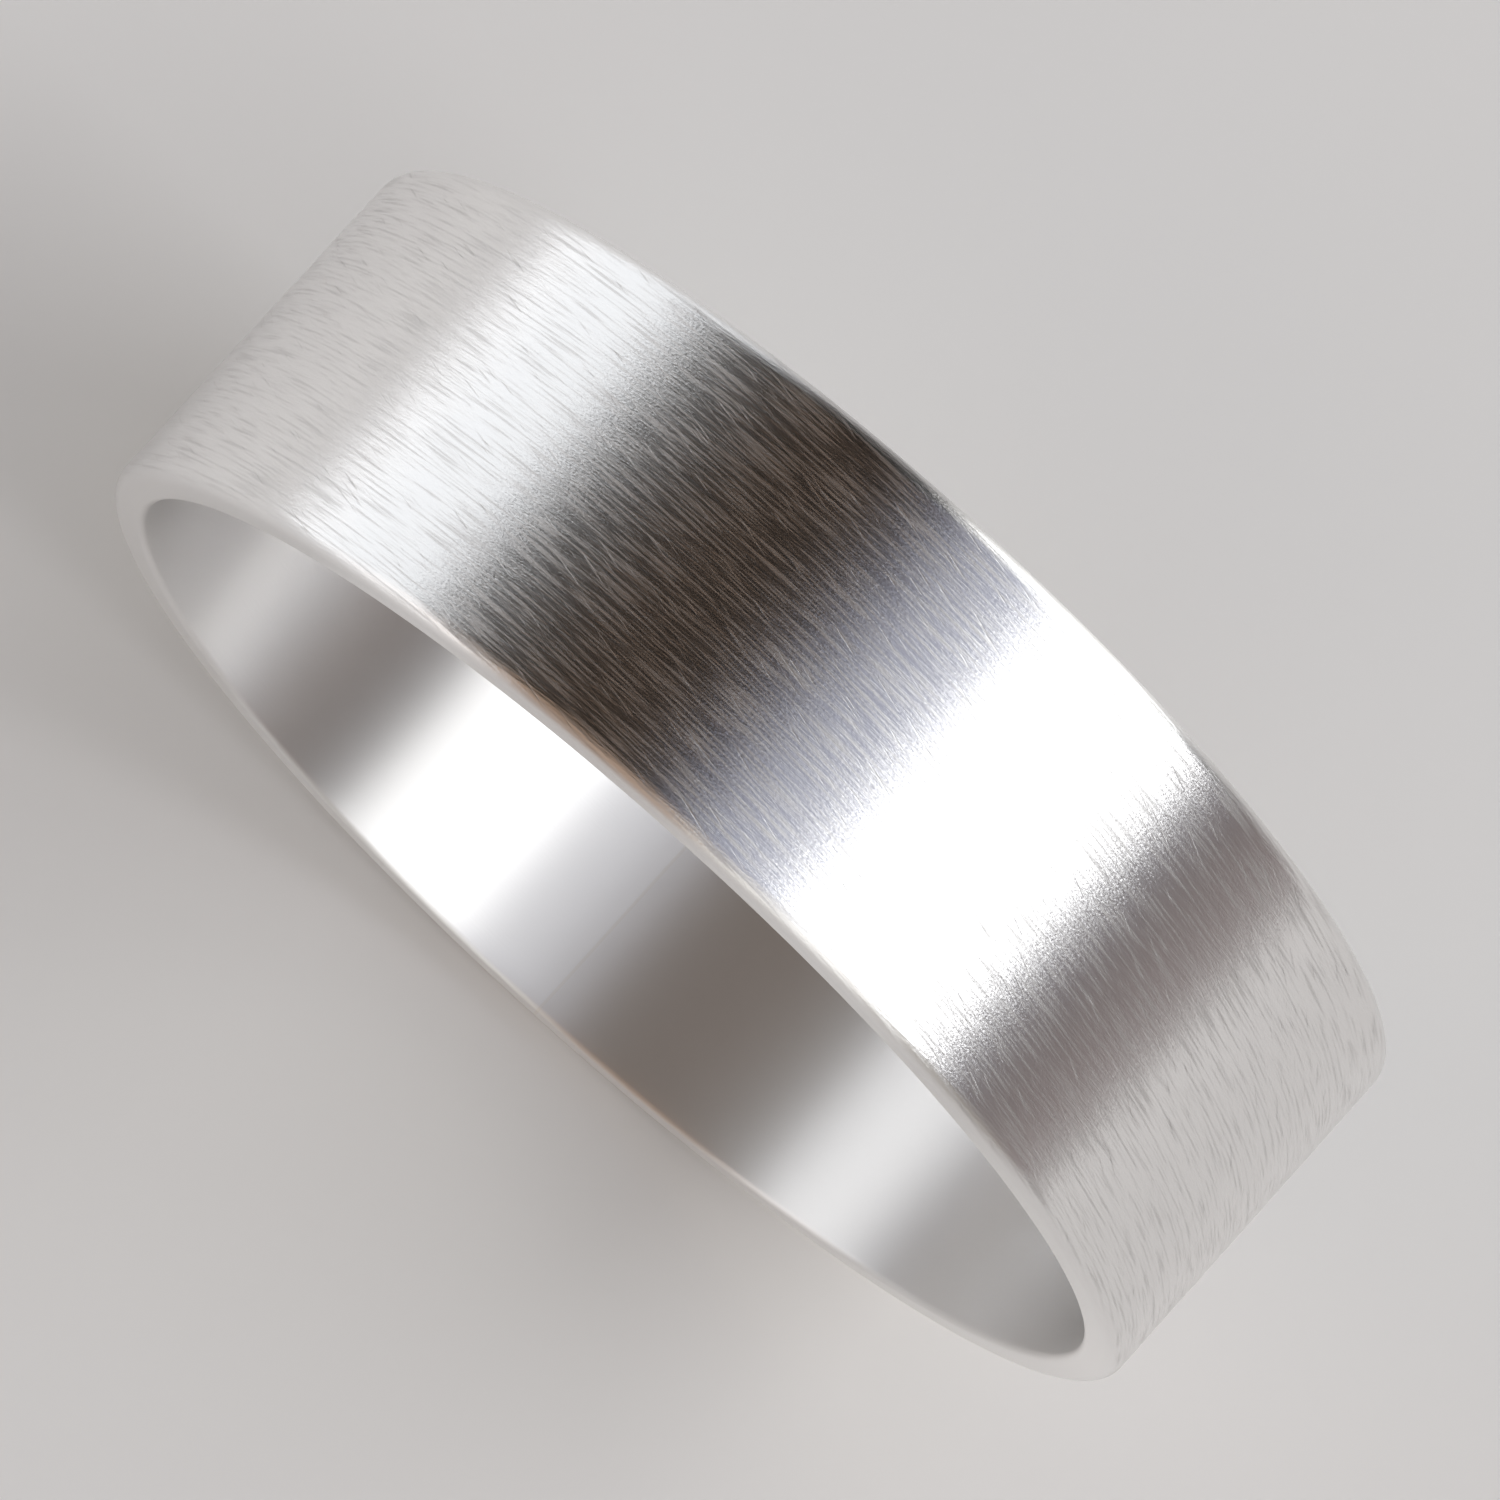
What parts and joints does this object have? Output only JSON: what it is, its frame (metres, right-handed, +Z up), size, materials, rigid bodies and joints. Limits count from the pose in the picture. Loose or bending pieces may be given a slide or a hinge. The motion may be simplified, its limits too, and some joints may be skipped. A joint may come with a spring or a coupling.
{
  "type": "wedding band",
  "caption": "Plain flat wedding band in silver with a circumferentially brushed outer face, a smooth bore and softened edges.",
  "frame": {"origin": "centre of the finger hole, half way across the band's width", "axes": "+Y along the finger, through the hole; +Z up, with the band standing on its rim and its soldered joint at the lowest point"},
  "size_m": [0.019, 0.006, 0.019],
  "materials": {
    "silver": "satin, brushed round the ring; smooth satin bore",
    "silver_solder": "satin, filed flush"
  },
  "bodies": {
    "root": {"band_strip": "silver", "solder_seam": "silver_solder"}
  },
  "joints": []
}
